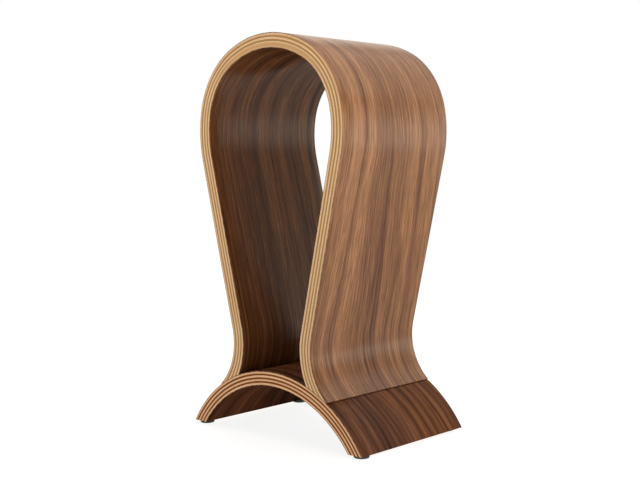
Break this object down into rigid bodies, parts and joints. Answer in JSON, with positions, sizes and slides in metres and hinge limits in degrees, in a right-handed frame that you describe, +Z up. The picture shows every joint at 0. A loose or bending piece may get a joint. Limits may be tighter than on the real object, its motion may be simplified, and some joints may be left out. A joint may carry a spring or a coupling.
{
  "type": "headphone stand",
  "caption": "Bent-plywood headphone stand: an omega-shaped walnut-faced loop, open front and back, on a shallow arched base with small rubber feet.",
  "frame": {"origin": "on the table, under the middle of the stand, level with the undersides of the rubber feet", "axes": "+Z up, -Y out of the open front of the loop, +X to the right when looking at the front; both bends lie in planes parallel to XZ"},
  "size_m": [0.1572, 0.104, 0.265],
  "materials": {
    "walnut_veneer": "satin clear lacquer over walnut, grain along the bend",
    "light_ply": "sanded edge of a pale ply",
    "dark_ply": "sanded edge of a darker ply",
    "rubber": "matt black"
  },
  "bodies": {
    "root": {"loop_outer_veneer": "walnut_veneer", "loop_core_ply_1": "light_ply", "loop_core_ply_2": "dark_ply", "loop_core_ply_3": "light_ply", "loop_core_ply_4": "dark_ply", "loop_core_ply_5": "light_ply", "loop_core_ply_6": "dark_ply", "loop_core_ply_7": "light_ply", "loop_inner_veneer": "walnut_veneer", "base_outer_veneer": "walnut_veneer", "base_core_ply_1": "light_ply", "base_core_ply_2": "dark_ply", "base_core_ply_3": "light_ply", "base_core_ply_4": "dark_ply", "base_core_ply_5": "light_ply", "base_core_ply_6": "dark_ply", "base_core_ply_7": "light_ply", "base_inner_veneer": "walnut_veneer", "foot_front_left": "rubber", "foot_front_right": "rubber", "foot_rear_left": "rubber", "foot_rear_right": "rubber"}
  },
  "joints": []
}
